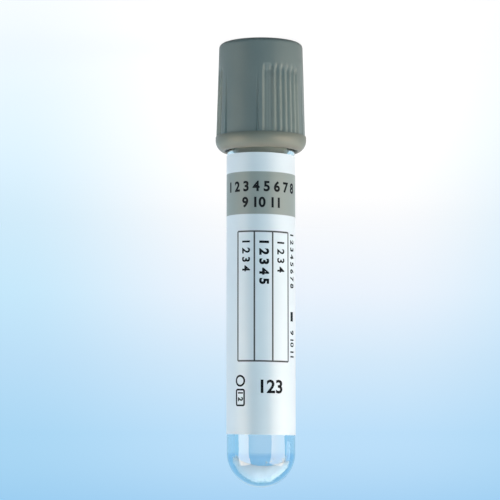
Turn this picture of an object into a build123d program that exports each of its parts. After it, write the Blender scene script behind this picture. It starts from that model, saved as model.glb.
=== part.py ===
# A 13 x 75 mm blood collection tube: a round-bottomed clear tube with a wrap-around label and a dried
# additive, closed by a rubber stopper in a ribbed cap. It rests standing on its cap, round end up.
# Every piece is drawn with the round end at the origin and the cap above it, and turned over at the end.
# Heights run up from the round end, and radii are measured from the tube's axis.
# Lengths are in millimetres and angles in degrees.

from build123d import *
from math import cos, hypot, radians, sin, tan
import os

# tube
tube_length = 75.0
tube_radius = 6.5
mouth_wall = 1.0
bottom_wall = 1.5               # the bore narrows towards the round end
base_thickness = 1.6
lead_in_draft = 0.8             # outside taper below the rim, hidden by the cap
rim_rounding = 0.25

# label
label_bottom = 10.0
label_gap = 0.95                # between the label and the cap
label_thickness = 0.10
adhesive_thickness = 0.02
window_width = 6.0              # clear strip left open at the back to see the fill level

# dried additive in the round end
additive_gap = 0.03
additive_depth = 1.9            # at the middle of the tube
hollow_margin = 1.6             # the cake's dished top is rounder than the bore by this
hollow_offset = 0.3             # and stands a little higher on one side

# stopper
rim_seat_gap = 0.03
plug_clearance = 0.03
plug_length = 13.0
plug_margin = 1.5               # straight stretch of bore below the plug
relief_depth = 0.27             # between the sealing rings
ring_count = 3
ring_radius = 1.2
ring_spacing = 2.3
ring_offset = 1.6               # first ring below the flange
shoulder_length = 7.6           # from the flange down to where the nose starts to narrow
nose_taper = 0.25
nose_rounding = 0.5
nose_wall = 2.15
cavity_depth = 11.0
flange_overhang = 0.2           # flange beyond the tube
flange_thickness = 4.0
flange_rounding = 0.4
boss_height = 2.9
dimple_radius = 2.6
dimple_depth = 0.7

# cap
cap_rise = 10.3                 # cap above the tube's rim
skirt_overlap = 10.65           # skirt below the tube's rim
skirt_clearance = 0.35          # between the skirt and the tube
skirt_wall = 1.77
skirt_lead_in = 0.2
lead_in_margin = 0.55           # the tube's taper starts this far below the skirt
collar_step = 0.13              # collar beyond the ribbed wall above it
collar_height = 2.85
collar_round = 2.4
collar_sweep = 62.5
collar_top_rounding = 0.1
wall_draft = 1.8
top_rounding = 0.9
top_thickness = 1.4
stopper_clearance = 0.05        # between the stopper and the cap
bead_height = 0.6               # snap bead that keeps the stopper in the cap
bead_grip = 0.12
well_radius = 4.3               # opening that the needle enters by
well_chamfer = 0.6
well_wall = 1.0
well_draft = 1.5
well_lip = 0.25                 # step that laps the stopper's boss
crown_wall = 1.5                # outside wall round the hollow under the top
guide_rib_count = 6
guide_rib_width = 0.8
guide_rib_clearance = 0.12
guide_rib_inset = 2.0

# grip on the cap: smooth recessed panels with ridges between them
sector_count = 3
panel_centre_angle = -28.25     # from the label's front, to the left
panel_angle = 49.5
panel_depth = 0.35
groove_count = 7
groove_pitch_angle = 8.15
groove_radius = 0.32
groove_depth = 0.42
low_ridge_depth = 0.18          # the first ridge beside each panel stands lower than the rest
low_ridge_margin = 1.0          # and fades out lower down
grip_margin = 5.5               # plain wall above the grip

# heights that follow
nose_end = tube_length - plug_length
cavity_top = nose_end + cavity_depth
flange_bottom = tube_length + rim_seat_gap
flange_top = flange_bottom + flange_thickness
boss_top = flange_top + boss_height
cap_bottom = tube_length - skirt_overlap
cap_top = tube_length + cap_rise
collar_top = cap_bottom + collar_height
collar_round_height = cap_bottom + collar_round * sin(radians(collar_sweep))
crown_height = cap_top - top_thickness
lip_height = boss_top + stopper_clearance
grip_top = cap_top - grip_margin
grip_length = grip_top - collar_top
low_ridge_top = grip_top - low_ridge_margin
barrel_top = cap_bottom - lead_in_margin
label_top = cap_bottom - label_gap
ring_heights = [flange_bottom - ring_offset - ring_spacing * i for i in range(ring_count)]

# radii that follow
mouth_bore_radius = tube_radius - mouth_wall
bottom_bore_radius = tube_radius - bottom_wall
rim_radius = tube_radius - (tube_length - barrel_top) * tan(radians(lead_in_draft))
label_inner_radius = tube_radius + adhesive_thickness
additive_radius = bottom_bore_radius - additive_gap
hollow_radius = bottom_bore_radius + hollow_margin
plug_radius = mouth_bore_radius - plug_clearance
relief_radius = plug_radius - relief_depth
nose_radius = relief_radius - nose_taper
cavity_radius = nose_radius - nose_wall
flange_radius = tube_radius + flange_overhang
boss_radius = well_radius + well_lip - stopper_clearance
skirt_bore_radius = tube_radius + skirt_clearance
chamber_radius = flange_radius + stopper_clearance
bead_radius = flange_radius - bead_grip
foot_radius = skirt_bore_radius + skirt_wall
collar_radius = foot_radius + collar_step
edge_radius = collar_radius - collar_round
socket_radius = boss_radius + stopper_clearance
well_foot_radius = socket_radius + well_wall
well_root_radius = well_foot_radius + (crown_height - flange_top) * tan(radians(well_draft))
top_radius = foot_radius - (cap_top - collar_top) * tan(radians(wall_draft))
crown_radius = top_radius - crown_wall
grip_top_radius = foot_radius - grip_length * tan(radians(wall_draft))
bore_bottom = base_thickness + bottom_bore_radius
cavity_shoulder = cavity_top - cavity_radius

# Half-section that faces the label's front: radii run forwards and heights up.
section = Plane(origin=(0, 0, 0), x_dir=(0, -1, 0), z_dir=(-1, 0, 0))


# Tube: one thin moulding with a hemispherical end, a tapered bore and a straight mouth.
with BuildPart() as tube:
    with BuildSketch(section):
        with BuildLine():
            CenterArc((0, tube_radius), tube_radius, -90, 90)
            Polyline(
                (tube_radius, tube_radius),
                (tube_radius, barrel_top),
                (rim_radius, tube_length),
                (mouth_bore_radius, tube_length),
                (mouth_bore_radius, nose_end - plug_margin),
                (bottom_bore_radius, bore_bottom),
            )
            CenterArc((0, bore_bottom), bottom_bore_radius, 0, -90)
            Line((0, base_thickness), (0, 0))
        make_face()
    revolve(axis=Axis.Z)
    fillet(tube.edges().group_by(Axis.Z)[-1], rim_rounding)
tube.part.label = "tube"

# Label: a strip wrapped round the barrel, open along a window at the back.
with BuildPart() as label:
    with BuildSketch(Plane.XY.offset(label_bottom)):
        Circle(label_inner_radius + label_thickness)
        Circle(label_inner_radius, mode=Mode.SUBTRACT)
        with Locations((0, tube_radius)):
            Rectangle(window_width, tube_radius, mode=Mode.SUBTRACT)
    extrude(amount=label_top - label_bottom)
label.part.label = "label"

# Additive: a dried cake that lines the round end, dished from side to side.
with BuildPart() as additive:
    with BuildSketch(section):
        with BuildLine():
            CenterArc((0, bore_bottom), additive_radius, -90, 90)
            Polyline((additive_radius, bore_bottom), (0, bore_bottom), (0, bore_bottom - additive_radius))
        make_face()
    revolve(axis=Axis.Z)
    with BuildSketch(Plane.XZ):
        with Locations((hollow_offset, base_thickness + additive_depth + hollow_radius)):
            Circle(hollow_radius)
    extrude(amount=tube_radius, both=True, mode=Mode.SUBTRACT)
additive.part.label = "additive"

# Stopper: a hollow plug with sealing rings, a flange that sits on the rim, and a boss with a needle dimple.
with BuildPart() as stopper:
    with BuildSketch(section):
        with BuildLine():
            Polyline(
                (dimple_radius, boss_top),
                (boss_radius, boss_top),
                (boss_radius, flange_top),
                (flange_radius, flange_top),
                (flange_radius, flange_bottom),
                (relief_radius, flange_bottom),
                (relief_radius, flange_bottom - shoulder_length),
                (nose_radius, nose_end),
                (cavity_radius, nose_end),
                (cavity_radius, cavity_shoulder),
            )
            CenterArc((0, cavity_shoulder), cavity_radius, 0, 90)
            Line((0, cavity_top), (0, boss_top - dimple_depth))
            SagittaArc((0, boss_top - dimple_depth), (dimple_radius, boss_top), -dimple_depth / 4)
        make_face()
        with Locations([(plug_radius - ring_radius, height) for height in ring_heights]):
            Circle(ring_radius)
    revolve(axis=Axis.Z)
    fillet(stopper.edges().group_by(Axis.Z)[0].sort_by(SortBy.RADIUS)[-1], nose_rounding)
    fillet(stopper.edges().filter_by(GeomType.CIRCLE).group_by(SortBy.RADIUS)[-1], flange_rounding)
stopper.part.label = "stopper"

# Cutter for one grip groove: a round bar, sunk at the collar, that leaves the drafted wall at its top.
groove_start = foot_radius - groove_depth + groove_radius
groove_end = grip_top_radius + groove_radius
with BuildPart() as groove_cutter:
    with BuildSketch(Plane.XY.offset(collar_top)):
        with Locations((0, -groove_start)):
            Circle(groove_radius)
    extrude(
        amount=hypot(grip_length, groove_end - groove_start),
        dir=(0, groove_start - groove_end, grip_length),
    )

# Cutter for one smooth panel: a wedge of the wall, deepest at the collar.
with BuildPart() as panel_cutter:
    with BuildSketch(section):
        with BuildLine():
            Polyline(
                (foot_radius - panel_depth, collar_top),
                (foot_radius + panel_depth, collar_top),
                (foot_radius + panel_depth, grip_top),
                (grip_top_radius, grip_top),
                close=True,
            )
        make_face()
    revolve(axis=Axis.Z, revolution_arc=panel_angle)

# Cutter that lowers one ridge, from the middle of a groove to the middle of the next.
with BuildPart() as ridge_cutter:
    with BuildSketch(section):
        with BuildLine():
            Polyline(
                (foot_radius - low_ridge_depth, collar_top),
                (foot_radius + low_ridge_depth, collar_top),
                (foot_radius + low_ridge_depth, low_ridge_top),
                (foot_radius - (low_ridge_top - collar_top) * tan(radians(wall_draft)), low_ridge_top),
                close=True,
            )
        make_face()
    revolve(axis=Axis.Z, revolution_arc=groove_pitch_angle)

# Cap: a collar and a drafted grip outside. Inside are the skirt, a snap bead under the stopper's flange,
# a hollow crown and a well that laps the stopper's boss.
sector_angle = 360 / sector_count
with BuildPart() as cap:
    with BuildSketch(section):
        with BuildLine():
            CenterArc((edge_radius, collar_round_height), collar_round, -collar_sweep, collar_sweep)
            Polyline(
                (collar_radius, collar_round_height),
                (collar_radius, collar_top),
                (foot_radius, collar_top),
                (top_radius, cap_top),
                (well_radius + well_chamfer, cap_top),
                (well_radius, cap_top - well_chamfer),
                (well_radius, lip_height),
                (socket_radius, lip_height),
                (socket_radius, flange_top),
                (well_foot_radius, flange_top),
                (well_root_radius, crown_height),
                (crown_radius, crown_height),
                (chamber_radius, flange_top),
                (chamber_radius, flange_bottom),
                (bead_radius, flange_bottom - bead_height / 3),
                (bead_radius, flange_bottom - bead_height * 2 / 3),
                (skirt_bore_radius, flange_bottom - bead_height),
                (skirt_bore_radius, cap_bottom + skirt_lead_in),
                (skirt_bore_radius + skirt_lead_in, cap_bottom),
                (edge_radius + collar_round * cos(radians(collar_sweep)), cap_bottom),
            )
        make_face()
    revolve(axis=Axis.Z)
    fillet(cap.edges().group_by(Axis.Z)[-1].sort_by(SortBy.RADIUS)[-1], top_rounding)
    collar_edges = cap.edges().filter_by(GeomType.CIRCLE).group_by(SortBy.RADIUS)[-1]
    fillet(collar_edges.sort_by(Axis.Z)[-1], collar_top_rounding)
    with BuildSketch(Plane.XY.offset(cap_bottom + guide_rib_inset)):
        with PolarLocations(skirt_bore_radius, guide_rib_count):
            Rectangle(2 * (skirt_clearance - guide_rib_clearance), guide_rib_width)
    extrude(until=Until.NEXT)
    for sector in range(sector_count):
        panel_centre = panel_centre_angle + sector * sector_angle
        first_groove = panel_centre + sector_angle / 2 - groove_pitch_angle * (groove_count - 1) / 2
        add(panel_cutter.part.rotate(Axis.Z, panel_centre - panel_angle / 2), mode=Mode.SUBTRACT)
        add(ridge_cutter.part.rotate(Axis.Z, first_groove), mode=Mode.SUBTRACT)
        for i in range(groove_count):
            add(groove_cutter.part.rotate(Axis.Z, first_groove + groove_pitch_angle * i), mode=Mode.SUBTRACT)
cap.part.label = "cap"

# Standing on its cap, with the label's front still forwards.
on_its_cap = Location((0, 0, cap_top), (0, 180, 0))
os.makedirs("parts", exist_ok=True)
export_step(tube.part.moved(on_its_cap), "parts/tube.step")
export_step(label.part.moved(on_its_cap), "parts/label.step")
export_step(additive.part.moved(on_its_cap), "parts/additive.step")
export_step(stopper.part.moved(on_its_cap), "parts/stopper.step")
export_step(cap.part.moved(on_its_cap), "parts/cap.step")
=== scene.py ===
# A sample tube standing on its cap: clear tube, wrap label, dried powder, rubber stopper and ribbed cap.
import bpy
import bmesh
from math import acos, asin, atan2, cos, degrees, pi, radians, sin, sqrt, tan
from mathutils import Matrix, Vector, noise


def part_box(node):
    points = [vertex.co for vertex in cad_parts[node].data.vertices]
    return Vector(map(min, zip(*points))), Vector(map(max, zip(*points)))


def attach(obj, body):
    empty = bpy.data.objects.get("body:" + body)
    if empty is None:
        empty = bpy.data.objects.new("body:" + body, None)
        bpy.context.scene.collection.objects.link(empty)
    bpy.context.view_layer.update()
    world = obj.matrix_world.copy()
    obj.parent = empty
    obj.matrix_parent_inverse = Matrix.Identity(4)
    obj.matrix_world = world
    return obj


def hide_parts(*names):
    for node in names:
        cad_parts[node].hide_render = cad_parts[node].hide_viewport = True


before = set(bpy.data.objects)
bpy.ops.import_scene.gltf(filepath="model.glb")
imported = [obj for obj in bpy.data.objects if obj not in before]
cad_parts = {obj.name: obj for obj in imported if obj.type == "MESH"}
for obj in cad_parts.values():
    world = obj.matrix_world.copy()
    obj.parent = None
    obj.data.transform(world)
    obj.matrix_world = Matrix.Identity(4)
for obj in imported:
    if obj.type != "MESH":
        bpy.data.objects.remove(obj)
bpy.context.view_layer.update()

mm = 0.001
tiny = 1e-8  # metres: points closer than this are one
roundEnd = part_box("tube")[1][2]  # metres: the round end's tip, from which heights are measured down
print("frame loaded, round end at", round(roundEnd, 4))


def place(radius, height, angle):
    # radius and height in millimetres, angle in radians from the label's front towards -X
    return (-radius * mm * sin(angle), -radius * mm * cos(angle), roundEnd - height * mm)


def addObject(name, data):
    item = bpy.data.objects.new(name, data)
    bpy.context.collection.objects.link(item)
    return item


cameraView = {
    "distance": 382.6,  # from the tube's axis
    "height": 10.0,     # level with the label's lower edge
    "pitch": 5.276,     # turned towards the cap
    "yaw": 0.315,
    "lens": 144.0,
    "nearest": 0.01, "farthest": 50.0,  # metres
}

eye = Vector(place(cameraView["distance"], cameraView["height"], 0))
pitch, yaw = radians(cameraView["pitch"]), radians(cameraView["yaw"])
forward = Vector((sin(yaw) * cos(pitch), cos(yaw) * cos(pitch), -sin(pitch)))
sideways = forward.cross(Vector((0, 0, -1))).normalized()  # the cap is at the top of the picture
upwards = sideways.cross(forward)
turn = Matrix((sideways, upwards, -forward)).transposed()
camera = addObject("camera", bpy.data.cameras.new("camera"))
camera.matrix_world = Matrix.Translation(eye) @ turn.to_4x4()
camera.data.lens = cameraView["lens"]
camera.data.clip_start = cameraView["nearest"]
camera.data.clip_end = cameraView["farthest"]
bpy.context.scene.camera = camera
bpy.context.scene.view_settings.view_transform = "Standard"
print("camera placed")


def finishMesh(name, bm, material, smoothAngle=40, recalc=True):
    if recalc:
        bmesh.ops.remove_doubles(bm, verts=bm.verts, dist=tiny)
        bmesh.ops.recalc_face_normals(bm, faces=bm.faces)
    mesh = bpy.data.meshes.new(name)
    bm.to_mesh(mesh)
    bm.free()
    mesh.shade_smooth()
    mesh.set_sharp_from_angle(angle=radians(smoothAngle))
    mesh.materials.append(material)
    return addObject(name, mesh)


def arcPoints(centre, radius, start, sweep, steps):
    # start and sweep in degrees, both ends included
    angles = [radians(start + sweep * i / steps) for i in range(steps + 1)]
    return [(centre[0] + radius * cos(angle), centre[1] + radius * sin(angle)) for angle in angles]


def softCorners(points, steps=4):
    # a closed outline of (x, y) points; a rounding, then its own number of steps, may follow x and y
    result = []
    count = len(points)
    for i, point in enumerate(points):
        rounding = point[2] if len(point) > 2 else 0
        here = Vector(point[:2])
        if not rounding:
            result.append((here.x, here.y))
            continue
        before = (Vector(points[i - 1][:2]) - here).normalized()
        after = (Vector(points[(i + 1) % count][:2]) - here).normalized()
        half = acos(max(-1, min(1, before.dot(after)))) / 2
        reach = rounding / tan(half)
        middle = here + (before + after).normalized() * rounding / sin(half)
        first, last = here + before * reach, here + after * reach
        start = atan2(first.y - middle.y, first.x - middle.x)
        sweep = atan2(last.y - middle.y, last.x - middle.x) - start
        sweep = (sweep + pi) % (2 * pi) - pi
        turns = point[3] if len(point) > 3 else steps
        for k in range(turns + 1):
            angle = start + sweep * k / turns
            result.append((middle.x + rounding * cos(angle), middle.y + rounding * sin(angle)))
    return result


def lathe(profile, segments, closed=True, weights=None):
    # profile of (radius, height) points; a radius of zero makes a pole
    bm = bmesh.new()
    layer = bm.verts.layers.float.new(weights) if weights else None
    rings = []
    for radius, height in profile:
        if radius * mm < tiny:
            rings.append([bm.verts.new(place(0, height, 0))] * segments)
        else:
            angles = [2 * pi * k / segments for k in range(segments)]
            rings.append([bm.verts.new(place(radius, height, angle)) for angle in angles])
    pairs = list(zip(rings, rings[1:]))
    if closed:
        pairs.append((rings[-1], rings[0]))
    for lower, upper in pairs:
        for k in range(segments):
            following = (k + 1) % segments
            corners = dict.fromkeys([lower[k], lower[following], upper[following], upper[k]])
            if len(corners) > 2:
                bm.faces.new(list(corners))
    return bm, rings, layer


def setInput(tree, target, value):
    if isinstance(value, bpy.types.NodeSocket):
        tree.links.new(value, target)
    else:
        target.default_value = value


def setInputs(tree, node, values):
    for key, value in values.items():
        setInput(tree, node.inputs[key], value)


def addNode(tree, kind, inputs=None, **settings):
    node = tree.nodes.new(kind)
    for key, value in settings.items():
        setattr(node, key, value)
    setInputs(tree, node, inputs or {})
    return node


def calc(tree, operation, *values):
    return addNode(tree, "ShaderNodeMath", dict(enumerate(values)), operation=operation).outputs[0]


def chain(tree, operation, first, *others):
    # one operation over several values, from left to right
    for other in others:
        first = calc(tree, operation, first, other)
    return first


def times(tree, *values):
    return chain(tree, "MULTIPLY", *values)


def plus(tree, *values):
    return chain(tree, "ADD", *values)


def minus(tree, first, second):
    return calc(tree, "SUBTRACT", first, second)


def vectorCalc(tree, operation, first, second=None):
    inputs = {0: first}
    if second is not None:
        inputs["Scale" if operation == "SCALE" else 1] = second
    return addNode(tree, "ShaderNodeVectorMath", inputs, operation=operation).outputs[0]


def splitVector(tree, vector):
    return addNode(tree, "ShaderNodeSeparateXYZ", {0: vector}).outputs


def joinVector(tree, x, y, z):
    return addNode(tree, "ShaderNodeCombineXYZ", {0: x, 1: y, 2: z}).outputs[0]


def objectPoint(tree):
    return addNode(tree, "ShaderNodeTexCoord").outputs["Object"]


def angleAround(tree, split):
    # radians from the label's front towards -X
    return calc(tree, "ARCTAN2", times(tree, split[0], -1.0), times(tree, split[1], -1.0))


def heightDown(tree, split):
    # millimetres from the round end
    return times(tree, minus(tree, roundEnd, split[2]), 1 / mm)


def fade(tree, value, start, end, low=1.0, high=0.0):
    # smooth change from low at start to high at end
    return addNode(tree, "ShaderNodeMapRange", {
        "Value": value, "From Min": start, "From Max": end, "To Min": low, "To Max": high,
    }, interpolation_type="SMOOTHSTEP").outputs["Result"]


def blendColour(tree, factor, first, second):
    node = addNode(tree, "ShaderNodeMix", {"Factor": factor}, data_type="RGBA")
    colours = [socket for socket in node.inputs if socket.type == "RGBA"]
    setInput(tree, colours[0], first)
    setInput(tree, colours[1], second)
    return [socket for socket in node.outputs if socket.type == "RGBA"][0]


def noisePattern(tree, size, detail):
    # size in millimetres
    scale = calc(tree, "DIVIDE", 1 / mm, size)
    return addNode(tree, "ShaderNodeTexNoise", {
        "Vector": objectPoint(tree), "Scale": scale, "Detail": detail}).outputs[0]


def addSocket(tree, name, kind, side="INPUT"):
    return tree.interface.new_socket(name, in_out=side, socket_type="NodeSocket" + kind)


def newGroup(name, inputs, outputs):
    # inputs with their values, of which a colour is a tuple
    tree = bpy.data.node_groups.new(name, "ShaderNodeTree")
    for socketName, value in inputs.items():
        addSocket(tree, socketName, "Color" if isinstance(value, tuple) else "Float").default_value = value
    for socketName, kind in outputs.items():
        addSocket(tree, socketName, kind, "OUTPUT")
    return tree, addNode(tree, "NodeGroupInput").outputs, addNode(tree, "NodeGroupOutput")


def buildMottleGroup():
    # slow patches and fine specks that shift a colour a little
    tree, given, result = newGroup(
        "mottle",
        {"Colour": (0.5, 0.5, 0.5, 1), "Patch Size": 4.0, "Patch Strength": 0.1, "Speck Size": 0.2,
         "Speck Strength": 0.05},
        {"Colour": "Color", "Patches": "Float"},
    )
    patterns, shifts = [], []
    for kind, detail in (("Patch", 3.0), ("Speck", 1.0)):
        patterns.append(noisePattern(tree, given[kind + " Size"], detail))
        centred = minus(tree, patterns[-1], 0.5)
        shifts.append(times(tree, centred, given[kind + " Strength"], 2.0))
    total = plus(tree, *shifts, 1.0)
    tinted = vectorCalc(tree, "MULTIPLY", given["Colour"], joinVector(tree, total, total, total))
    setInputs(tree, result, {"Colour": tinted, "Patches": patterns[0]})
    return tree


def buildGrainGroup():
    # fine surface relief as a height
    tree, given, result = newGroup(
        "surfaceGrain",
        {"Grain Size": 0.15, "Wave Size": 3.0, "Wave Share": 0.3},
        {"Height": "Float"},
    )
    grain = noisePattern(tree, given["Grain Size"], 2.0)
    waves = times(tree, noisePattern(tree, given["Wave Size"], 1.0), given["Wave Share"])
    setInputs(tree, result, {"Height": plus(tree, grain, waves)})
    return tree


mottleGroup = buildMottleGroup()
grainGroup = buildGrainGroup()


def named(values, *names, scale=1.0):
    # a dictionary's values under input names, such as patchSize for Patch Size
    return {name: values[name[0].lower() + name[1:].replace(" ", "")] * scale for name in names}


def newMaterial(name):
    material = bpy.data.materials.new(name)
    material.use_nodes = True
    return material, material.node_tree, material.node_tree.nodes["Principled BSDF"]


def addRelief(tree, shader, look):
    # a look's fine bumps
    values = named(look, "Grain Size", "Wave Size", "Wave Share")
    grain = addNode(tree, "ShaderNodeGroup", values, node_tree=grainGroup)
    bump = addNode(tree, "ShaderNodeBump", {
        "Height": grain.outputs["Height"], "Strength": look["reliefStrength"],
        "Distance": look["reliefDepth"] * mm})
    setInputs(tree, shader, {"Normal": bump.outputs[0]})


def dress(tree, shader, colour, look):
    # a look's mottled colour, roughness and fine bumps; a pair of roughnesses varies with the patches
    values = {"Colour": colour, **named(look, "Patch Size", "Patch Strength", "Speck Size", "Speck Strength")}
    mottle = addNode(tree, "ShaderNodeGroup", values, node_tree=mottleGroup).outputs
    roughness = look["roughness"]
    if isinstance(roughness, tuple):
        darkest, lightest = 0.3, 0.7  # most of a patch pattern lies between these
        roughness = fade(tree, mottle["Patches"], darkest, lightest, *roughness)
    setInputs(tree, shader, {"Base Color": mottle["Colour"], "Roughness": roughness})
    addRelief(tree, shader, look)


def newShapeTree(name, inputs):
    # a Geometry Nodes tree with named inputs, which are plain numbers apart from these three kinds
    tree = bpy.data.node_groups.new(name, "GeometryNodeTree")
    tree.is_modifier = True
    kinds = {"Geometry": "Geometry", "Seed": "Int", "Material": "Material"}
    for socketName in ("Geometry", *inputs, "Material"):
        addSocket(tree, socketName, kinds.get(socketName, "Float"))
    addSocket(tree, "Geometry", "Geometry", "OUTPUT")
    return tree, addNode(tree, "NodeGroupInput").outputs


def endShapeTree(tree, geometry, material):
    realized = addNode(tree, "GeometryNodeRealizeInstances", {"Geometry": geometry})
    coated = addNode(tree, "GeometryNodeSetMaterial", {"Geometry": realized.outputs[0], "Material": material})
    addNode(tree, "NodeGroupOutput", {0: coated.outputs[0]})
    return tree


def storedValue(tree, name):
    node = addNode(tree, "GeometryNodeInputNamedAttribute", {"Name": name}, data_type="FLOAT")
    return node.outputs["Attribute"]


def runTree(piece, tree, values):
    # applies a Geometry Nodes tree to a piece and leaves a plain mesh
    modifier = piece.modifiers.new(tree.name, "NODES")
    modifier.node_group = tree
    for item in tree.interface.items_tree:
        if item.item_type == "SOCKET" and item.in_out == "INPUT" and item.name in values:
            modifier[item.identifier] = values[item.name]
    evaluated = piece.evaluated_get(bpy.context.evaluated_depsgraph_get())
    mesh = bpy.data.meshes.new_from_object(evaluated)
    piece.modifiers.clear()
    piece.data = mesh


capValues = {
    # millimetres and degrees; heights are down from the round end
    "capBottom": 64.35, "capTop": 85.3, "segments": 900, "smoothAngle": 48,
    "collarRadius": 8.74, "collarHeight": 2.85, "collarRound": 2.4, "collarSweep": 62.5, "collarSteps": 14,
    "collarEdge": ((0.0, 0.12), (0.04, 0.03), (0.1, 0.0)),  # steps in from the collar, and below its top
    "footRadius": 8.62, "draft": 1.8,
    "topRounding": 0.9, "topShare": 0.93, "topSteps": 7,  # the arc's own share of the height left for it
    "footRows": 4, "footSpacing": 0.4,
    "fadeMargins": (0.4, 0.3), "wallRows": (7, 11, 3),  # rows lie close together where the ridges fade
    "wellRadius": 4.3, "wellChamfer": 0.6, "wellRoundings": (0.15, 0.2),
    "inside": (  # radius, height and rounding at each corner, from the well's lip to the flange and its bead
        (4.3, 81.98, 0.05), (4.55, 81.98, 0.05), (4.55, 79.03, 0.08), (5.55, 79.03, 0.08), (5.68, 83.9, 0.3),
        (6.55, 83.9, 0.3), (6.75, 79.03), (6.75, 75.03), (6.58, 74.83, 0.05), (6.58, 74.63, 0.05)),
    "skirtBore": 6.85, "skirtTop": 74.43, "skirtChamfer": 0.2,
    "guideRibs": 6, "guideProud": 0.23, "guideRoot": 0.2, "guideHalfWidth": 0.4,
    "guideFoot": 66.35, "guideHead": 74.48,
    "gripTop": 80.6, "sectors": 3,
    "panelCentre": -28.25, "panelAngle": 49.5, "panelDepth": 0.09, "borderAngle": 2.4, "borderDepth": 0.30,
    "grooveCentre": 29.9, "grooveCount": 7, "groovePitch": 8.15, "grooveDepth": 0.33, "ridgeWidth": 1.25,
    "lowRidgeDrop": 0.31, "edgeSoftness": 0.6, "runOut": 2.0,
    "hollowTint": 0.35, "tintRunOut": 5.0,  # a hollow's share of the painted highlight on the ridges

    "colour": (0.170, 0.205, 0.196, 1),
    # painted highlight: lightens the ridged fields, fully on the crests and partly in the hollows
    "crestHighlightColour": (0.250, 0.272, 0.240, 1),
    "collarLightColour": (0.198, 0.202, 0.166, 1), "collarFade": (-0.2, 0.1),  # from the collar's top; the collar colour is painted light, warmer and lighter than the wall
    "lipShadeColour": (0.183, 0.171, 0.141, 1), "lipShadeFade": (0.1, 0.9),  # from the cap's lower edge; the lip colour is painted shade on the collar's lower rounding
    "roughness": (0.35, 0.46), "gloss": 0.42, "collarGloss": 0.26,
    "patchSize": 5.0, "patchStrength": 0.05, "speckSize": 0.18, "speckStrength": 0.05,
    "grainSize": 0.12, "waveSize": 2.5, "waveShare": 0.5, "reliefStrength": 0.25, "reliefDepth": 0.02,
}


def buildCapMaterial():
    c = capValues
    material, tree, plastic = newMaterial("satinGreyPlastic")
    height = heightDown(tree, splitVector(tree, objectPoint(tree)))
    onCollar = fade(tree, height, *[c["capBottom"] + c["collarHeight"] + end for end in c["collarFade"]])
    # painted shade: darker towards the cap's lower edge, under the collar
    inLipShade = fade(tree, height, *[c["capBottom"] + end for end in c["lipShadeFade"]])
    # the painted highlight that the grip tree stored on the ridged fields
    ridged = addNode(tree, "ShaderNodeAttribute", attribute_name="ridged").outputs["Fac"]
    colour = c["colour"]
    # painted highlight on the ridges, painted light on the collar and painted shade at the collar's lower
    # edge
    for share, paintedLight in ((ridged, "crestHighlightColour"), (onCollar, "collarLightColour"), (inLipShade, "lipShadeColour")):
        colour = blendColour(tree, share, colour, c[paintedLight])
    dress(tree, plastic, colour, c)
    gloss = fade(tree, onCollar, 0.0, 1.0, c["gloss"], c["collarGloss"])
    setInputs(tree, plastic, {"Specular IOR Level": gloss})
    return material


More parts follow.
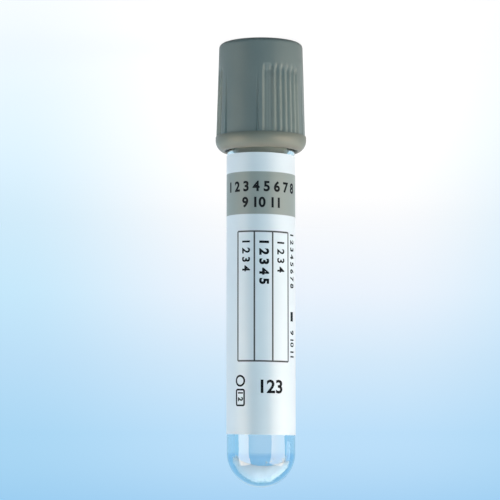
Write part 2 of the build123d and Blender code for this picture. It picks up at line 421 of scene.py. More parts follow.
def buildGripTree():
    # presses the smooth panels and the ridges into the cap's wall, and stores a painted highlight that
    # lightens the ridged fields, full on the crests and weaker in the hollows
    tree, given = newShapeTree("gripRidges", (
        "Sector Angle", "Panel Centre", "Panel Angle", "Panel Depth", "Border Angle", "Border Depth",
        "Groove Centre", "Groove Zone", "Groove Pitch", "Groove Depth", "Ridge Width", "Low Ridge Drop",
        "Edge Softness", "Grip Bottom", "Grip Top", "Run Out", "Hollow Tint", "Tint Run Out"))
    split = splitVector(tree, addNode(tree, "GeometryNodeInputPosition").outputs[0])
    weight = storedValue(tree, "gripWeight")
    angle = angleAround(tree, split)
    half = times(tree, given["Sector Angle"], 0.5)
    minusHalf = times(tree, half, -1.0)
    fromTop = minus(tree, split[2], given["Grip Top"])

    def fromCentre(centre):
        return calc(tree, "WRAP", minus(tree, angle, centre), half, minusHalf)

    def within(distance, width):
        edge = times(tree, width, 0.5)
        return fade(tree, distance, minus(tree, edge, given["Edge Softness"]),
                    plus(tree, edge, given["Edge Softness"]))

    def scallop(distance):
        # 1 at the middle of a hollow, 0 on the crests beside it
        turns = times(tree, calc(tree, "DIVIDE", distance, given["Groove Pitch"]), 2 * pi)
        return times(tree, plus(tree, calc(tree, "COSINE", turns), 1.0), 0.5)

    def without(mask):
        return minus(tree, 1.0, mask)

    def below(reach):
        # 0 at the grip's top, 1 from this far under it
        return fade(tree, fromTop, 0.0, reach, 0.0, 1.0)

    rise = fade(tree, split[2], given["Grip Top"], given["Grip Bottom"], 0.0, 1.0)
    fromPanel = calc(tree, "ABSOLUTE", fromCentre(given["Panel Centre"]))
    panel = times(tree, within(fromPanel, given["Panel Angle"]), given["Panel Depth"], rise)
    borderWidth = minus(tree, given["Panel Angle"], given["Border Angle"])
    fromBorder = minus(tree, fromPanel, times(tree, borderWidth, 0.5))
    onBorder = within(calc(tree, "ABSOLUTE", fromBorder), given["Border Angle"])
    border = times(tree, onBorder, given["Border Depth"], rise)

    inZone = fromCentre(given["Groove Centre"])
    awayFromZone = calc(tree, "ABSOLUTE", inZone)
    halfPitch = times(tree, given["Groove Pitch"], 0.5)
    hollow = calc(tree, "POWER", scallop(inZone), given["Ridge Width"])
    lowMiddle = plus(tree, minus(tree, halfPitch, given["Groove Zone"]), halfPitch)
    fromLow = minus(tree, inZone, lowMiddle)
    isLow = calc(tree, "LESS_THAN", calc(tree, "ABSOLUTE", fromLow), halfPitch)
    lowRidge = times(tree, scallop(fromLow), isLow)
    isZone = calc(tree, "LESS_THAN", awayFromZone, given["Groove Zone"])
    pressedIn = plus(tree, times(tree, hollow, given["Groove Depth"], isZone),
                     times(tree, lowRidge, given["Low Ridge Drop"]))
    ridges = times(tree, pressedIn, below(given["Run Out"]))
    depth = times(tree, plus(tree, panel, border, ridges), weight)

    # painted highlight: full on the crests, a share of it in the hollows, fading in under the grip's top
    crest = times(tree, without(hollow), without(lowRidge))
    paintedLight = plus(tree, times(tree, crest, without(given["Hollow Tint"])), given["Hollow Tint"])
    zone = within(awayFromZone, times(tree, given["Groove Zone"], 2.0))
    paintedLight = times(tree, paintedLight, below(given["Tint Run Out"]), zone, weight)

    inward = vectorCalc(tree, "NORMALIZE", joinVector(tree, split[0], split[1], 0.0))
    offset = vectorCalc(tree, "SCALE", inward, times(tree, depth, -1.0))
    pressed = addNode(tree, "GeometryNodeSetPosition", {"Geometry": given["Geometry"], "Offset": offset})
    marked = addNode(tree, "GeometryNodeStoreNamedAttribute", {
        "Geometry": pressed.outputs[0], "Name": "ridged", "Value": paintedLight}, data_type="FLOAT", domain="POINT")
    return endShapeTree(tree, marked.outputs[0], given["Material"])


def wallLevels(collarTop, wallTop):
    c = capValues
    levels = [collarTop + c["footSpacing"] * k for k in range(c["footRows"])]
    below, above = c["fadeMargins"]
    ends = (c["gripTop"] - c["runOut"] - below, c["gripTop"] + above, wallTop)
    for end, rows in zip(ends, c["wallRows"]):
        levels += [levels[-1] + (end - levels[-1]) * (k + 1) / rows for k in range(rows)]
    return levels


def addGuideRibs(bm):
    # ribs that centre the skirt on the tube
    c = capValues
    for k in range(c["guideRibs"]):
        middle = 2 * pi * k / c["guideRibs"]
        corners = []
        for height in (c["guideFoot"], c["guideHead"]):
            for radius in (c["skirtBore"] - c["guideProud"], c["skirtBore"] + c["guideRoot"]):
                for side in (-c["guideHalfWidth"], c["guideHalfWidth"]):
                    corners.append(bm.verts.new(place(radius, height, middle + side / radius)))
        for face in ((0, 1, 3, 2), (4, 5, 7, 6), (0, 1, 5, 4), (2, 3, 7, 6), (0, 2, 6, 4), (1, 3, 7, 5)):
            bm.faces.new([corners[i] for i in face])


def buildCap(material):
    c = capValues
    slope = tan(radians(c["draft"]))
    collarTop = c["capBottom"] + c["collarHeight"]
    wallTop = c["capTop"] - c["topRounding"]
    topRadius = c["footRadius"] - (c["capTop"] - collarTop) * slope
    arcCentre = (c["collarRadius"] - c["collarRound"],
                 c["capBottom"] + c["collarRound"] * sin(radians(c["collarSweep"])))
    collar = arcPoints(arcCentre, c["collarRound"], -c["collarSweep"], c["collarSweep"], c["collarSteps"])
    collar += [(c["collarRadius"] - inwards, collarTop - down) for inwards, down in c["collarEdge"]]
    levels = wallLevels(collarTop, wallTop)
    wall = [(c["footRadius"] - slope * (level - collarTop), level) for level in levels[:-1]]
    crown = softCorners([
        (topRadius + slope * (c["capTop"] - wallTop), wallTop),
        (topRadius, c["capTop"], c["topRounding"] * c["topShare"], c["topSteps"]),
        (c["wellRadius"] + c["wellChamfer"], c["capTop"], c["wellRoundings"][0]),
        (c["wellRadius"], c["capTop"] - c["wellChamfer"], c["wellRoundings"][1]),
        *c["inside"],
        (c["skirtBore"], c["skirtTop"]),
        (c["skirtBore"], c["capBottom"] + c["skirtChamfer"]),
        (c["skirtBore"] + c["skirtChamfer"], c["capBottom"]),
        collar[0],
    ], steps=3)[:-1]
    bm, rings, weight = lathe(collar + wall + crown, c["segments"], weights="gripWeight")
    for ring in rings[len(collar):len(collar) + len(wall)]:
        for vert in ring:
            vert[weight] = 1.0
    addGuideRibs(bm)
    piece = finishMesh("ribbedCap", bm, material)
    runTree(piece, buildGripTree(), {
        **named(c, "Panel Centre", "Panel Angle", "Border Angle", "Groove Centre", "Groove Pitch",
                "Edge Softness", scale=radians(1)),
        **named(c, "Panel Depth", "Border Depth", "Groove Depth", "Low Ridge Drop", "Run Out", "Tint Run Out",
                scale=mm),
        **named(c, "Ridge Width", "Hollow Tint"),
        "Sector Angle": 2 * pi / c["sectors"],
        "Groove Zone": radians(c["groovePitch"] * c["grooveCount"] / 2),
        "Grip Bottom": roundEnd - collarTop * mm, "Grip Top": roundEnd - c["gripTop"] * mm,
        "Material": material,
    })
    piece.data.set_sharp_from_angle(angle=radians(c["smoothAngle"]))
    return piece


cap = buildCap(buildCapMaterial())
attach(cap, "closure")
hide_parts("cap")
print("cap built", len(cap.data.polygons), "faces")


stopperValues = {
    "noseEnd": 62.0, "noseRadius": 4.95, "noseRounding": 0.5,
    "reliefRadius": 5.20, "reliefRounding": 0.1, "shoulder": 67.43,
    "plugRadius": 5.47, "ringRadius": 1.2, "ringHeights": (73.43, 71.13, 68.83), "ringSteps": 10,
    "flangeBottom": 75.03, "flangeTop": 79.03, "flangeRadius": 6.69, "flangeRounding": 0.4,
    "bossRadius": 4.49, "bossTop": 81.93, "bossRounding": 0.15,
    "dimpleRadius": 2.6, "dimpleDepth": 0.7, "dimpleSteps": 10,
    "cavityRadius": 2.8, "cavityTop": 73.0, "cavityRounding": 0.25, "cavitySteps": 16,
    "segments": 160,

    "colour": (0.292, 0.302, 0.249, 1), "roughness": (0.56, 0.68),
    "patchSize": 2.5, "patchStrength": 0.08, "speckSize": 0.12, "speckStrength": 0.08,
    "grainSize": 0.1, "waveSize": 1.5, "waveShare": 0.4, "reliefStrength": 0.4, "reliefDepth": 0.03,
}


def buildStopper():
    s = stopperValues
    material, tree, rubber = newMaterial("mattRubber")
    dress(tree, rubber, s["colour"], s)
    ringCentre = s["plugRadius"] - s["ringRadius"]
    ringReach = sqrt(s["ringRadius"] ** 2 - (s["reliefRadius"] - ringCentre) ** 2)
    sweep = degrees(asin(ringReach / s["ringRadius"]))
    outside = []
    for k in range(s["dimpleSteps"] + 1):
        share = k / s["dimpleSteps"]
        outside.append((s["dimpleRadius"] * share, s["bossTop"] - s["dimpleDepth"] * (1 - share ** 2)))
    outside += softCorners([
        (s["dimpleRadius"], s["bossTop"]),
        (s["bossRadius"], s["bossTop"], s["bossRounding"]),
        (s["bossRadius"], s["flangeTop"], s["bossRounding"]),
        (s["flangeRadius"], s["flangeTop"], s["flangeRounding"]),
        (s["flangeRadius"], s["flangeBottom"], s["flangeRounding"]),
        (s["reliefRadius"], s["flangeBottom"], s["reliefRounding"]),
        (s["reliefRadius"], s["ringHeights"][0] + ringReach),
    ], steps=5)[1:-1]
    for height in s["ringHeights"]:
        outside += arcPoints((ringCentre, height), s["ringRadius"], sweep, -2 * sweep, s["ringSteps"])
    outside += softCorners([
        (s["reliefRadius"], s["shoulder"]),
        (s["noseRadius"], s["noseEnd"], s["noseRounding"]),
        (s["cavityRadius"], s["noseEnd"], s["cavityRounding"]),
        (s["cavityRadius"], s["cavityTop"] - s["cavityRadius"]),
    ], steps=7)
    roof = arcPoints((0, s["cavityTop"] - s["cavityRadius"]), s["cavityRadius"], 0, 90, s["cavitySteps"])
    outside += roof[1:-1] + [(0, s["cavityTop"])]
    bm = lathe(outside, s["segments"], closed=False)[0]
    return finishMesh("rubberStopper", bm, material)


stopper = buildStopper()
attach(stopper, "closure")
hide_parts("stopper")
print("stopper built", len(stopper.data.polygons), "faces")


tubeValues = {
    "length": 75.0, "radius": 6.5, "barrelTop": 63.8, "rimRadius": 6.344, "rimRounding": 0.22,
    "mouthBore": 5.5, "boreStraight": 60.5, "bottomBore": 5.0, "baseThickness": 1.6,
    "segments": 256, "roundSteps": 48,

    # painted shade: the colour that the tube takes on towards its outline as seen
    "colour": (0.945, 0.985, 1.0, 1), "edgeShadeColour": (0.66, 0.86, 0.92, 1), "edgeShadeFade": (0.22, 0.42),
    "shadowColour": (0.93, 0.96, 0.97, 1),  # what lamp light keeps on its way through
    "roughness": 0.015, "refraction": 1.57,
    "grainSize": 2.2, "waveSize": 7.0, "waveShare": 1.2, "reliefStrength": 0.05, "reliefDepth": 0.1,
}


def buildClearMaterial():
    t = tubeValues
    material, tree, clear = newMaterial("clearPlastic")
    # painted shade: the tube turns darker and bluer towards its outline as seen
    facing = addNode(tree, "ShaderNodeLayerWeight", {"Blend": 0.5}).outputs["Facing"]
    inEdgeShade = fade(tree, facing, *t["edgeShadeFade"], 0.0, 1.0)
    setInputs(tree, clear, {
        "Base Color": blendColour(tree, inEdgeShade, t["colour"], t["edgeShadeColour"]), "Roughness": t["roughness"],
        "IOR": t["refraction"], "Transmission Weight": 1.0})
    addRelief(tree, clear, t)
    lampsPass = addNode(tree, "ShaderNodeBsdfTransparent", {"Color": t["shadowColour"]})
    isShadow = addNode(tree, "ShaderNodeLightPath").outputs["Is Shadow Ray"]
    mix = addNode(tree, "ShaderNodeMixShader", {0: isShadow, 1: clear.outputs[0], 2: lampsPass.outputs[0]})
    setInputs(tree, tree.nodes["Material Output"], {"Surface": mix.outputs[0]})
    return material


def buildTube(material):
    t = tubeValues
    outside = [(0, 0)] + arcPoints((0, t["radius"]), t["radius"], -90, 90, t["roundSteps"])[1:]
    rim = softCorners([
        (t["radius"], t["barrelTop"]),
        (t["rimRadius"], t["length"], t["rimRounding"]),
        (t["mouthBore"], t["length"], t["rimRounding"]),
        (t["mouthBore"], t["boreStraight"]),
    ], steps=6)
    boreCentre = (0, t["baseThickness"] + t["bottomBore"])
    inside = arcPoints(boreCentre, t["bottomBore"], 0, -90, t["roundSteps"])[:-1] + [(0, t["baseThickness"])]
    bm = lathe(outside + rim + inside, t["segments"], closed=False)[0]
    return finishMesh("clearTube", bm, material)


tube = buildTube(buildClearMaterial())
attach(tube, "vial")
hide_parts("tube")
print("tube built", len(tube.data.polygons), "faces")


powderValues = {
    "radius": 4.97, "boreBottom": 6.6, "segments": 224, "rings": 64,
    "hollowRadius": 6.6, "hollowCentre": 10.1, "hollowOffset": 0.3, "hollowTilt": 0.20,
    # each unevenness is a height, a closeness and the slice of the noise that it is cut from
    "rimWander": (0.03, 4, 3.0), "lumps": (0.16, 0.9, 1.7), "grains": (0.05, 5.0, 5.0),
    "settle": 6,  # the lumps die away near the rim by this power
    # grains stuck to the wall in front make the cake look wider
    "stuckRise": 0.04, "stuckReach": 72.0, "stuckFade": 16.0, "stuckWander": (5.0, 3.0),
    "stuckPatches": (0.8, 40.0), "stuckContrast": 3.0,

    "crumbsPerSquareMm": 14.0, "crumbSize": 0.13, "crumbSmallest": 0.35, "crumbClimb": 1.5, "crumbSeed": 5,
    "crumbTurn": 6.2, "crumbDivisions": 2,
    "crumbRows": 6, "crumbFewest": 0.05, "crumbBearing": 0.7,  # they lie near the rim, mostly on this side

    "colour": (0.545, 0.650, 0.765, 1), "roughness": 0.9, "gloss": 0.1, "scatter": 0.7, "scatterDepth": 2.5,
    "patchSize": 1.0, "patchStrength": 0.06, "speckSize": 0.15, "speckStrength": 0.10,
    "grainSize": 0.08, "waveSize": 0.5, "waveShare": 0.8, "reliefStrength": 0.6, "reliefDepth": 0.05,
}


def buildPowderMaterial():
    p = powderValues
    material, tree, powderShader = newMaterial("whitePowder")
    dress(tree, powderShader, p["colour"], p)
    setInputs(tree, powderShader, {
        "Specular IOR Level": p["gloss"], "Subsurface Weight": p["scatter"],
        "Subsurface Scale": p["scatterDepth"] * mm, "Subsurface Radius": (1.0, 1.0, 1.0)})
    return material


def limit(value):
    return max(0.0, min(1.0, value))


def dishHeight(x, y):
    # x towards the right of the label's front, y towards the front
    p = powderValues
    hollow = sqrt(p["hollowRadius"] ** 2 - (x - p["hollowOffset"]) ** 2)
    return p["hollowCentre"] - hollow + p["hollowTilt"] * y


def rimOf(angle):
    # how far up the round wall the cake reaches in one direction, as an angle from the bottom
    p = powderValues
    low, high = 0.0, pi / 2
    for _ in range(30):  # each turn halves the range
        middle = (low + high) / 2
        height, out = p["boreBottom"] - p["radius"] * cos(middle), p["radius"] * sin(middle)
        if height < dishHeight(out * sin(angle), out * cos(angle)):
            low = middle
        else:
            high = middle
    return low


def stuckRadius(way):
    # the cake's radius in one direction from the middle of the round bore
    p = powderValues
    wander, wanderScale = p["stuckWander"]
    patch, patchScale = p["stuckPatches"]
    fromFront = degrees(way.angle(Vector((0, 1, 0)))) + wander * noise.noise(way * wanderScale)
    share = limit((p["stuckReach"] - fromFront) / p["stuckFade"] + 0.5)
    patches = p["stuckContrast"] * (share + patch * noise.noise(way * patchScale)) - 1.0
    return p["radius"] + p["stuckRise"] * limit(patches)


def unevenness(x, y, values):
    height, closeness, level = values
    return noise.noise(Vector((x, y, level)) * closeness) * height


def buildPowder(material):
    p = powderValues
    bm = bmesh.new()
    rim = bm.verts.layers.float.new("rimWeight")
    count, rows = p["segments"], p["rings"]
    bottom = bm.verts.new(place(0, p["boreBottom"] - p["radius"], 0))
    middle = bm.verts.new(place(0, dishHeight(0, 0), 0))
    wander, wanderScale, wanderLevel = p["rimWander"]
    bowl, dish = [], []
    for k in range(count):
        angle = 2 * pi * k / count
        around = Vector((wanderScale * cos(angle), wanderScale * sin(angle), wanderLevel))
        reach = rimOf(angle) + wander * noise.noise(around)
        spoke = []
        for i in range(1, rows + 1):
            tilt = reach * i / rows
            radius = stuckRadius(Vector((sin(tilt) * sin(angle), sin(tilt) * cos(angle), cos(tilt))))
            spoke.append(bm.verts.new(place(radius * sin(tilt), p["boreBottom"] - radius * cos(tilt), angle)))
            if i > rows - p["crumbRows"]:
                onSide = max(0.0, cos(angle - p["crumbBearing"])) ** 2
                spoke[-1][rim] = p["crumbFewest"] + (1 - p["crumbFewest"]) * onSide
        bowl.append(spoke)
        edgeRadius = radius * sin(reach)
        edgeHeight = p["boreBottom"] - radius * cos(reach)
        edgeRise = edgeHeight - dishHeight(edgeRadius * sin(angle), edgeRadius * cos(angle))
        spoke = []
        for i in range(1, rows):
            share = i / rows
            nearEdge = share ** p["settle"]
            radius = edgeRadius * share
            x, y = radius * sin(angle), radius * cos(angle)
            lumps = unevenness(x, y, p["lumps"]) + unevenness(x, y, p["grains"])
            height = dishHeight(x, y) + lumps * (1 - nearEdge) + edgeRise * nearEdge
            spoke.append(bm.verts.new(place(radius, height, angle)))
        dish.append(spoke)
    for k in range(count):
        j = (k + 1) % count
        bm.faces.new([bottom, bowl[k][0], bowl[j][0]])
        bm.faces.new([middle, dish[k][0], dish[j][0]])
        for spokes, last in ((bowl, rows - 1), (dish, rows - 2)):
            for i in range(last):
                bm.faces.new([spokes[k][i], spokes[k][i + 1], spokes[j][i + 1], spokes[j][i]])
        bm.faces.new([dish[k][rows - 2], bowl[k][rows - 1], bowl[j][rows - 1], dish[j][rows - 2]])
    piece = finishMesh("driedPowder", bm, material, smoothAngle=60)
    runTree(piece, buildCrumbTree(), {
        **named(p, "Crumb Size", "Crumb Climb", scale=mm), **named(p, "Crumb Smallest", "Crumb Turn"),
        "Crumb Density": p["crumbsPerSquareMm"] / mm ** 2, "Seed": p["crumbSeed"], "Material": material,
        "Wall Radius": p["radius"] * mm, "Wall Centre": roundEnd - p["boreBottom"] * mm})
    return piece


def buildCrumbTree():
    # small crumbs held by the round wall just above the powder's edge
    tree, given = newShapeTree("looseCrumbs", (
        "Crumb Density", "Crumb Size", "Crumb Smallest", "Crumb Climb", "Crumb Turn",
        "Wall Radius", "Wall Centre", "Seed"))
    density = times(tree, given["Crumb Density"], storedValue(tree, "rimWeight"))
    points = addNode(tree, "GeometryNodeDistributePointsOnFaces", {
        "Mesh": given["Geometry"], "Density": density, "Seed": given["Seed"]})

    def chance(low, high, step, kind="FLOAT"):
        node = addNode(tree, "FunctionNodeRandomValue", data_type=kind)
        lowest, highest = [socket for socket in node.inputs if socket.enabled][:2]
        setInput(tree, lowest, low)
        setInput(tree, highest, high)
        setInputs(tree, node, {"Seed": plus(tree, given["Seed"], step)})
        return [socket for socket in node.outputs if socket.enabled][0]

    size = chance(given["Crumb Smallest"], 1.0, 1)
    climb = times(tree, calc(tree, "POWER", chance(0.0, 1.0, 2), 2.0), given["Crumb Climb"])
    turn = joinVector(tree, given["Crumb Turn"], given["Crumb Turn"], given["Crumb Turn"])
    split = splitVector(tree, addNode(tree, "GeometryNodeInputPosition").outputs[0])
    height = minus(tree, split[2], climb)
    raised = joinVector(tree, split[0], split[1], height)
    axis = joinVector(tree, 0.0, 0.0, calc(tree, "MINIMUM", height, given["Wall Centre"]))
    outward = vectorCalc(tree, "NORMALIZE", vectorCalc(tree, "SUBTRACT", raised, axis))
    reach = minus(tree, given["Wall Radius"], times(tree, size, given["Crumb Size"]))
    onWall = vectorCalc(tree, "ADD", vectorCalc(tree, "SCALE", outward, reach), axis)
    spread = addNode(tree, "GeometryNodeSetPosition", {
        "Geometry": points.outputs["Points"], "Position": onWall})
    crumb = addNode(tree, "GeometryNodeMeshIcoSphere", {
        "Radius": given["Crumb Size"], "Subdivisions": powderValues["crumbDivisions"]})
    crumbs = addNode(tree, "GeometryNodeInstanceOnPoints", {
        "Points": spread.outputs[0], "Instance": crumb.outputs["Mesh"],
        "Rotation": chance((0, 0, 0), turn, 3, "FLOAT_VECTOR"), "Scale": size})
    joined = addNode(tree, "GeometryNodeJoinGeometry", {0: given["Geometry"]})
    setInputs(tree, joined, {0: crumbs.outputs[0]})
    return endShapeTree(tree, joined.outputs[0], given["Material"])


powder = buildPowder(buildPowderMaterial())
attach(powder, "vial")
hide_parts("additive")
print("powder built", len(powder.data.polygons), "faces")


labelValues = {
    "bottom": 10.0, "top": 63.4, "innerRadius": 6.52, "thickness": 0.095, "window": 6.0,
    "askew": -0.11,  # how far the label slants along the tube
    "columns": 300, "rows": 24,

    "paper": (0.835, 0.862, 0.890, 1),
    "band": (0.325, 0.350, 0.322, 1), "bandBottom": 51.6, "bandTop": 59.7,
    "ink": (0.006, 0.008, 0.011, 1), "inkCover": 0.97, "edgeBlur": 0.05,
    "ruleAngles": (-41.2, -10.9, 19.6, 50.9), "tableBottom": 23.8, "tableTop": 48.3, "ruleWidth": 0.30,
    "roughness": 0.38, "ruleRoughness": 0.53,
    "patchSize": 6.0, "patchStrength": 0.015, "speckSize": 0.15, "speckStrength": 0.02,
    "grainSize": 0.12, "waveSize": 4.0, "waveShare": 2.0, "reliefStrength": 0.12, "reliefDepth": 0.02,
}
paperRadius = labelValues["innerRadius"] + labelValues["thickness"]


def buildLabelMaterial():
    p = labelValues
    material, tree, paper = newMaterial("coatedPaper")
    split = splitVector(tree, objectPoint(tree))
    angle = angleAround(tree, split)
    around = times(tree, angle, paperRadius)
    slant = times(tree, calc(tree, "SINE", angle), p["askew"])
    height = minus(tree, heightDown(tree, split), slant)

    def between(value, low, high):
        soft = p["edgeBlur"]
        return times(tree, fade(tree, value, low - soft, low + soft, 0.0, 1.0),
                    fade(tree, value, high - soft, high + soft, 1.0, 0.0))

    def onRule(value, centre):
        return between(value, centre - p["ruleWidth"] / 2, centre + p["ruleWidth"] / 2)

    centres = [radians(ruleAngle) * paperRadius for ruleAngle in p["ruleAngles"]]
    besideTable = between(height, p["tableBottom"], p["tableTop"])
    acrossTable = between(around, centres[0], centres[-1])
    lines = [times(tree, onRule(around, centre), besideTable) for centre in centres]
    lines += [times(tree, onRule(height, level), acrossTable) for level in (p["tableBottom"], p["tableTop"])]
    rules = chain(tree, "MAXIMUM", *lines)
    colour = blendColour(tree, between(height, p["bandBottom"], p["bandTop"]), p["paper"], p["band"])
    colour = blendColour(tree, times(tree, rules, p["inkCover"]), colour, p["ink"])
    dress(tree, paper, colour, p)
    setInputs(tree, paper, {"Roughness": fade(tree, rules, 0.0, 1.0, p["roughness"], p["ruleRoughness"])})
    return material


def buildLabel(material):
    s = labelValues
    bm = bmesh.new()
    halfWindow = asin(s["window"] / 2 / paperRadius)
    columns, rows = s["columns"], s["rows"]
    layers = []
    for radius in (s["innerRadius"], paperRadius):
        grid = []
        for i in range(columns + 1):
            angle = -pi + halfWindow + (2 * pi - 2 * halfWindow) * i / columns
            bottom = s["bottom"] + s["askew"] * sin(angle)
            heights = [bottom + (s["top"] - s["bottom"]) * j / rows for j in range(rows + 1)]
            grid.append([bm.verts.new(place(radius, height, angle)) for height in heights])
        layers.append(grid)
    for grid in layers:
        for i in range(columns):
            for j in range(rows):
                bm.faces.new([grid[i][j], grid[i + 1][j], grid[i + 1][j + 1], grid[i][j + 1]])
    inner, outside = layers
    for i in range(columns):
        for j in (0, rows):
            bm.faces.new([inner[i][j], inner[i + 1][j], outside[i + 1][j], outside[i][j]])
    for i in (0, columns):
        for j in range(rows):
            bm.faces.new([inner[i][j], inner[i][j + 1], outside[i][j + 1], outside[i][j]])
    return finishMesh("wrapLabel", bm, material)


inkValues = {
    # text, letter height, angle, height, quarter turns, boldness
    "digits": (
        ("1 2 3 4 5 6 7 8", 1.9, 1.0, 56.8, 0, 0.05),
        ("9 10 11", 1.9, 2.0, 53.75, 0, 0.05),
        ("1 2 3 4", 1.6, -26.2, 46.9, 3, 0.045),
        ("1 2 3 4 5", 1.75, 4.4, 46.9, 3, 0.065),
        ("1 2 3 4", 1.6, 34.0, 46.8, 3, 0.035),
        ("1 2 3 4 5 6 7 8", 1.3, 62.5, 48.4, 3, 0.045),
        ("9 10 11", 1.3, 62.5, 29.8, 3, 0.045),
        ("123", 2.5, 16.5, 18.9, 0, 0.035),
        ("1 2", 1.1, -36.5, 18.15, 3, 0.06),
    ),
    "capitalHeight": 0.73,  # of the built-in letters, as a share of their size
    "curveSteps": 6,
    # a place is an angle and a height
    "ringPlace": (-36.5, 20.05), "ringRadius": 0.93, "ringWidth": 0.36, "ringSteps": 48,
    "framePlace": (-36.5, 16.9), "frameHalf": (0.9, 1.48), "frameRounding": 0.3, "frameWidth": 0.33,
    "blockPlace": (62.0, 32.4), "block": (0.95, 1.8),
    "thickness": 0.012, "lift": 0.003, "strip": 0.25,

    "roughness": 0.5, "gloss": 0.1,
    "patchSize": 1.5, "patchStrength": 0.2, "speckSize": 0.08, "speckStrength": 0.2,
    "grainSize": 0.1, "waveSize": 1.0, "waveShare": 0.3, "reliefStrength": 0.2, "reliefDepth": 0.01,
}


def buildInkMaterial():
    material, tree, ink = newMaterial("printedInk")
    dress(tree, ink, labelValues["ink"], inkValues)
    setInputs(tree, ink, {"Specular IOR Level": inkValues["gloss"]})
    return material


def flatDigits(text, size, turns, bold):
    # a thin closed mesh in millimetres, centred on the origin or starting at it
    curve = bpy.data.curves.new("digits", "FONT")
    curve.body = text
    curve.size = size / inkValues["capitalHeight"]
    curve.extrude = inkValues["thickness"] / 2
    curve.offset = bold * size
    curve.resolution_u = inkValues["curveSteps"]
    curve.align_y = "CENTER"
    curve.align_x = "CENTER" if turns == 0 else "LEFT"
    holder = bpy.data.objects.new("digits", curve)
    mesh = bpy.data.meshes.new_from_object(holder)
    mesh.transform(Matrix.Rotation(turns * pi / 2, 4, "Z"))
    bpy.data.objects.remove(holder)
    part = bmesh.new()
    part.from_mesh(mesh)
    bmesh.ops.remove_doubles(part, verts=part.verts, dist=1e-4)  # millimetres here
    return part


def outlineFrame(outline, width):
    # a closed outline of (x, y) points in millimetres, drawn as a thin line of a given width
    part = bmesh.new()
    count = len(outline)
    loops = []
    half = inkValues["thickness"] / 2
    for side in (-1, 1):
        for z in (-half, half):
            loop = []
            for i, (x, y) in enumerate(outline):
                ahead, behind = outline[(i + 1) % count], outline[i - 1]
                along = Vector((ahead[0] - behind[0], ahead[1] - behind[1])).normalized()
                out = side * width / 2
                loop.append(part.verts.new((x + along.y * out, y - along.x * out, z)))
            loops.append(loop)
    a, b, c, d = loops
    for i in range(count):
        j = (i + 1) % count
        for first, second in ((a, b), (b, d), (d, c), (c, a)):
            part.faces.new([first[i], first[j], second[j], second[i]])
    return part


def darkBlock():
    part = bmesh.new()
    corners = bmesh.ops.create_cube(part, size=1.0)["verts"]
    bmesh.ops.scale(part, vec=(*inkValues["block"], inkValues["thickness"]), verts=corners)
    return part


def printOnLabel(bm, part, angle, height):
    # cuts flat work, drawn in millimetres, into strips and bends it round the label
    width = max(abs(vert.co.x) for vert in part.verts)
    cuts = int(width / inkValues["strip"]) + 1
    for k in range(-cuts, cuts + 1):
        bmesh.ops.bisect_plane(part, geom=part.verts[:] + part.edges[:] + part.faces[:],
                               plane_co=(k * inkValues["strip"], 0, 0), plane_no=(1, 0, 0), dist=1e-5)
    for vert in part.verts:
        turned = radians(angle) + vert.co.x / paperRadius
        slant = labelValues["askew"] * sin(turned)
        vert.co = place(paperRadius + vert.co.z + inkValues["lift"], height + vert.co.y + slant, turned)
    bent = bpy.data.meshes.new("bent")
    part.to_mesh(bent)
    part.free()
    bm.from_mesh(bent)


def buildMarks(material):
    m = inkValues
    bm = bmesh.new()
    for text, size, angle, height, turns, bold in m["digits"]:
        printOnLabel(bm, flatDigits(text, size, turns, bold), angle, height)
    ringAngles = [2 * pi * k / m["ringSteps"] for k in range(m["ringSteps"])]
    ring = [(m["ringRadius"] * cos(angle), m["ringRadius"] * sin(angle)) for angle in ringAngles]
    x, y = m["frameHalf"]
    corners = [(right, up, m["frameRounding"]) for right, up in ((-x, -y), (x, -y), (x, y), (-x, y))]
    printOnLabel(bm, outlineFrame(ring, m["ringWidth"]), *m["ringPlace"])
    printOnLabel(bm, outlineFrame(softCorners(corners, steps=6), m["frameWidth"]), *m["framePlace"])
    printOnLabel(bm, darkBlock(), *m["blockPlace"])
    return finishMesh("labelInk", bm, material, smoothAngle=30)


label = buildLabel(buildLabelMaterial())
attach(label, "vial")
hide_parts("label")
ink = buildMarks(buildInkMaterial())
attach(ink, "vial")
print("label built", len(label.data.polygons), "faces, ink", len(ink.data.polygons))


stageValues = {
    # metres and degrees
    "floorRadius": 40.0, "floorSides": 128,
    "viewer": 0.38,       # the floor's colours spread from a point this far in front of the tube
    "colourReach": 0.35,  # a colour's place is this over its distance from that point
    "hereStops": ((0.0, (0.50, 0.74, 0.955, 1)), (0.17, (0.65, 0.815, 0.96, 1)),
                  (0.33, (0.83, 0.90, 0.985, 1)), (0.55, (0.98, 0.98, 0.985, 1)), (0.8, (1, 1, 1, 1))),
    "sideStops": ((0.0, (0.40, 0.68, 0.91, 1)), (0.17, (0.49, 0.735, 0.935, 1)),
                  (0.33, (0.565, 0.81, 0.97, 1)), (0.55, (0.66, 0.845, 0.965, 1)),
                  (0.79, (0.75, 0.87, 0.96, 1)), (1.0, (0.86, 0.915, 0.98, 1))),
    "brightWay": -1.4, "brightFade": (2.0, 9.0),  # from straight ahead of that point
    "glowNear": 0.93, "shadeNear": 0.07,
    "lampReach": (0.05, 0.35),    # lamps light the floor only near the tube
    "mirrorFade": (-0.03, 0.06),  # in front of the tube the floor is dimmer in shiny surfaces
    "skyHigh": (0.26, 0.55, 0.85, 1), "highFade": (0.0, 0.07),  # by how steep the look is
    "skyZenith": (0.20, 0.46, 0.60, 1), "zenithFade": (0.1, 0.9),
    "underFade": (-0.011, 0.0), "underShare": 0.34,  # just under the horizon the sky repeats the far floor
    "skyMirror": 0.25, "skyMirrorFade": (-0.4, 0.3),
    "ambient": (0.0, 0.04, 0.10, 1),
    "lampClearance": 0.01,
}

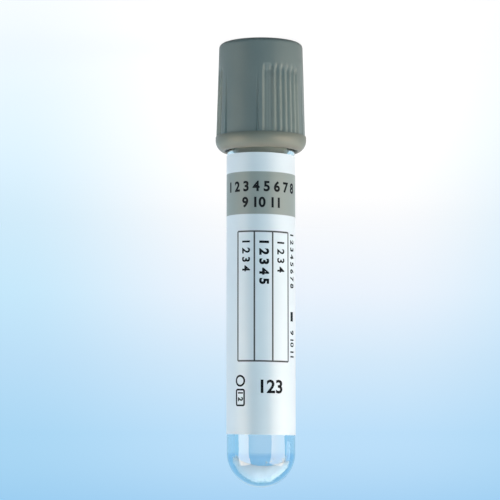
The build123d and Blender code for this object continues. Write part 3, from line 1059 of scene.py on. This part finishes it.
lampValues = {
    # angle from the label's front towards -X, rise, distance, width, height, watts, colour,
    # and the kind of surface that it shows on
    "keyBox": (85.0, 6.0, 0.60, 0.40, 0.80, 6.4, (1.0, 0.96, 0.89), "matte"),
    "fillBox": (-105.0, 6.0, 0.60, 0.40, 0.80, 4.0, (0.80, 0.92, 1.0), "matte"),
    "frontBox": (0.0, 9.0, 0.75, 0.40, 0.30, 3.1, (0.66, 0.90, 1.0), "matte"),
    "topBox": (-100.0, 76.0, 0.55, 0.40, 0.40, 2.2, (1.0, 0.87, 0.73), "matte"),
    "backBox": (180.0, 55.0, 0.55, 0.40, 0.40, 3.5, (1.0, 0.88, 0.76), "matte"),
    "rightStrip": (61.0, 6.0, 0.60, 0.62, 0.46, 5.0, (1.0, 0.76, 0.54), "shiny"),
    "leftStrip": (-62.0, 6.0, 0.60, 0.45, 0.46, 4.4, (1.0, 0.76, 0.54), "shiny"),
    "rightEdge": (105.0, 6.0, 0.60, 0.30, 0.90, 1.3, (1.0, 0.90, 0.85), "shiny"),
}

black = (0, 0, 0, 1)


def rampColour(tree, factor, stops):
    ramp = addNode(tree, "ShaderNodeValToRGB", {"Fac": factor})
    elements = ramp.color_ramp.elements
    while len(elements) < len(stops):
        elements.new(0.5)
    for element, (position, colour) in zip(elements, stops):
        element.position = position
        element.color = colour
    return ramp.outputs["Color"]


def offCentre(tree, x, y):
    # 0 straight behind the tube, 1 well to the sides
    angle = times(tree, calc(tree, "ARCTAN2", x, y), 180 / pi)
    angle = calc(tree, "ABSOLUTE", minus(tree, angle, stageValues["brightWay"]))
    return fade(tree, angle, *stageValues["brightFade"], 0.0, 1.0)


def seenDirectly(tree):
    # whether a look is the camera's own or comes through glass or a mirror, and whether it is a mirror's
    rays = addNode(tree, "ShaderNodeLightPath").outputs
    clearOrMirror = calc(tree, "MAXIMUM", rays["Is Glossy Ray"], rays["Is Transmission Ray"])
    return calc(tree, "MAXIMUM", rays["Is Camera Ray"], clearOrMirror), rays["Is Glossy Ray"]


def emptyTree(owner):
    owner.use_nodes = True
    owner.node_tree.nodes.clear()
    return owner.node_tree


def buildFloor():
    s = stageValues
    material = bpy.data.materials.new("paleFloor")
    tree = emptyTree(material)
    where = objectPoint(tree)
    split = splitVector(tree, where)
    away = addNode(tree, "ShaderNodeVectorMath", {0: where}, operation="LENGTH").outputs["Value"]
    ahead = plus(tree, split[1], s["viewer"])
    squares = [times(tree, part, part) for part in (split[0], ahead)]
    distance = calc(tree, "SQRT", plus(tree, *squares))
    nearness = calc(tree, "DIVIDE", s["colourReach"], plus(tree, distance, mm))  # mm keeps it off zero
    here, side = [rampColour(tree, nearness, s[key]) for key in ("hereStops", "sideStops")]
    colour = blendColour(tree, offCentre(tree, split[0], ahead), here, side)
    seen, mirrored = seenDirectly(tree)
    nearTube = fade(tree, away, *s["lampReach"])
    shade = times(tree, nearTube, s["shadeNear"])
    matt = addNode(tree, "ShaderNodeBsdfDiffuse", {"Color": blendColour(tree, shade, black, colour)})
    strength = times(tree, seen, fade(tree, away, *s["lampReach"], s["glowNear"], 1.0))
    inFront = times(tree, mirrored, fade(tree, split[1], *s["mirrorFade"], 1.0 - s["skyMirror"], 0.0))
    strength = times(tree, strength, minus(tree, 1.0, inFront))
    glow = addNode(tree, "ShaderNodeEmission", {"Color": colour, "Strength": strength})
    both = addNode(tree, "ShaderNodeAddShader", {0: matt.outputs[0], 1: glow.outputs[0]})
    addNode(tree, "ShaderNodeOutputMaterial", {"Surface": both.outputs[0]})
    bm = bmesh.new()
    bmesh.ops.create_circle(bm, cap_ends=True, segments=s["floorSides"], radius=s["floorRadius"])
    floor = finishMesh("floor", bm, material, recalc=False)


def buildWorld():
    s = stageValues
    world = bpy.data.worlds.new("paleStudio")
    bpy.context.scene.world = world
    tree = emptyTree(world)
    split = splitVector(tree, addNode(tree, "ShaderNodeTexCoord").outputs["Generated"])
    under = fade(tree, split[2], *s["underFade"], s["underShare"], 0.0)
    here, side = [blendColour(tree, under, s[key][0][1], s[key][1][1]) for key in ("hereStops", "sideStops")]
    sky = blendColour(tree, offCentre(tree, split[0], split[1]), here, side)
    for ends, colour in ((s["highFade"], s["skyHigh"]), (s["zenithFade"], s["skyZenith"])):
        sky = blendColour(tree, fade(tree, split[2], *ends, 0.0, 1.0), sky, colour)
    seen, mirrored = seenDirectly(tree)
    dimmed = fade(tree, split[1], *s["skyMirrorFade"], 1.0 - s["skyMirror"], 0.0)
    sky = blendColour(tree, times(tree, mirrored, dimmed), sky, black)
    background = addNode(tree, "ShaderNodeBackground", {
        "Color": blendColour(tree, seen, s["ambient"], sky), "Strength": 1.0})
    addNode(tree, "ShaderNodeOutputWorld", {"Surface": background.outputs[0]})


def hangLamp(name, angle, rise, distance, width, height, watts, colour, kind):
    lamp = bpy.data.lights.new(name, "AREA")
    lamp.shape = "RECTANGLE"
    lamp.size, lamp.size_y = width, height
    lamp.energy = watts
    lamp.color = colour
    holder = addObject(name, lamp)
    holder.visible_diffuse = kind == "matte"
    holder.visible_glossy = kind == "shiny"
    holder.visible_transmission = False
    angle, rise = radians(angle), radians(rise)
    middle = Vector((0, 0, roundEnd / 2))
    back = Vector((-sin(angle) * cos(rise), -cos(angle) * cos(rise), sin(rise)))
    spot = middle + back * distance
    spot.z = max(spot.z, height / 2 * cos(rise) + stageValues["lampClearance"])  # clear of the floor
    holder.location = spot
    holder.rotation_euler = (middle - spot).to_track_quat("-Z", "Y").to_euler()


buildFloor()
buildWorld()
for name, values in lampValues.items():
    hangLamp(name, *values)
print("stage lit")
